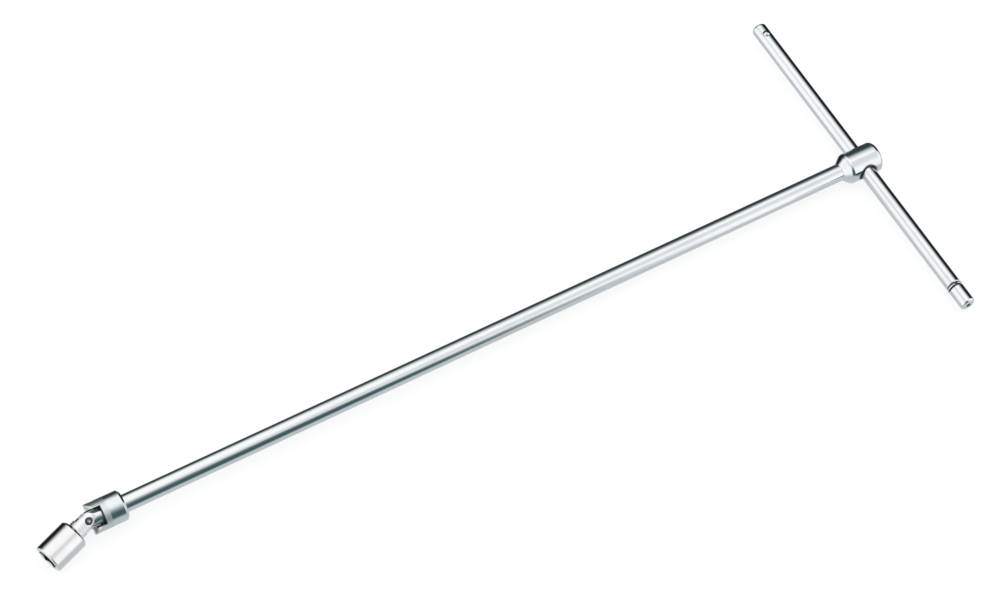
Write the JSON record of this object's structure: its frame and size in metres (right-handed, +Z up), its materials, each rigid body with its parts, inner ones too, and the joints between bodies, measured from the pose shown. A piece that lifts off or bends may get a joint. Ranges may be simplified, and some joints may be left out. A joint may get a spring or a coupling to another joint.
{
  "type": "t-handle socket wrench",
  "caption": "Long T-handle wrench with a sliding cross bar, a round shaft, a two-pin universal joint and a hexagon socket.",
  "frame": {"origin": "on the table, at the middle of the object's box, under the shaft", "axes": "+X along the shaft from the socket to the hub, +Y along the cross bar from its grooved end to its ball end, +Z up from the table"},
  "size_m": [0.4688, 0.1956, 0.0183],
  "materials": {
    "chrome_rod": "polished chrome plate with faint grinding lines",
    "chrome_hub": "polished chrome plate over a turned surface",
    "chrome_yoke": "polished chrome plate over a turned surface",
    "chrome_socket": "mirror chrome plate",
    "link_steel": "satin steel",
    "pin_steel": "riveted steel pin end, slightly dark",
    "spring_steel": "drawn spring wire",
    "ball_steel": "polished bearing ball"
  },
  "bodies": {
    "shaft_group": {"shaft": "chrome_rod", "hub": "chrome_hub", "shaft_yoke": "chrome_yoke", "yoke_pin": "pin_steel"},
    "ring_group": {"retaining_ring": "spring_steel"},
    "bar_group": {"cross_bar": "chrome_rod", "ball_spring": "spring_steel"},
    "ball_group": {"retaining_ball": "ball_steel"},
    "link_group": {"link_block": "link_steel"},
    "socket_group": {"hex_socket": "chrome_socket", "socket_pin": "pin_steel"}
  },
  "joints": [
    {"name": "bar_slide", "type": "slide", "parent": "shaft_group", "child": "ring_group", "axis": [0, 1, 0], "range_m": [-0.0823, 0.0784]},
    {"name": "bar_spin", "type": "hinge", "parent": "ring_group", "child": "bar_group", "pos_m": [0.22501, 0, 0.00804], "axis": [0, 1, 0], "continuous": true},
    {"name": "ball_press", "type": "slide", "parent": "bar_group", "child": "ball_group", "axis": [0, 0, 1], "range_m": [-0.0008, 0], "stiffness_N_per_m": 600, "springref_m": 0.001, "deforming": ["ball_spring"]},
    {"name": "link_tilt", "type": "hinge", "parent": "shaft_group", "child": "link_group", "pos_m": [-0.20308, 0, 0.01058], "axis": [0.0032, 0.8387, 0.5446], "range_deg": [-51.5, 44.5]},
    {"name": "socket_swing", "type": "hinge", "parent": "link_group", "child": "socket_group", "pos_m": [-0.20797, -0.00016, 0.01086], "axis": [0.066, -0.5436, 0.8367], "range_deg": [-57.7, 18.3]}
  ]
}
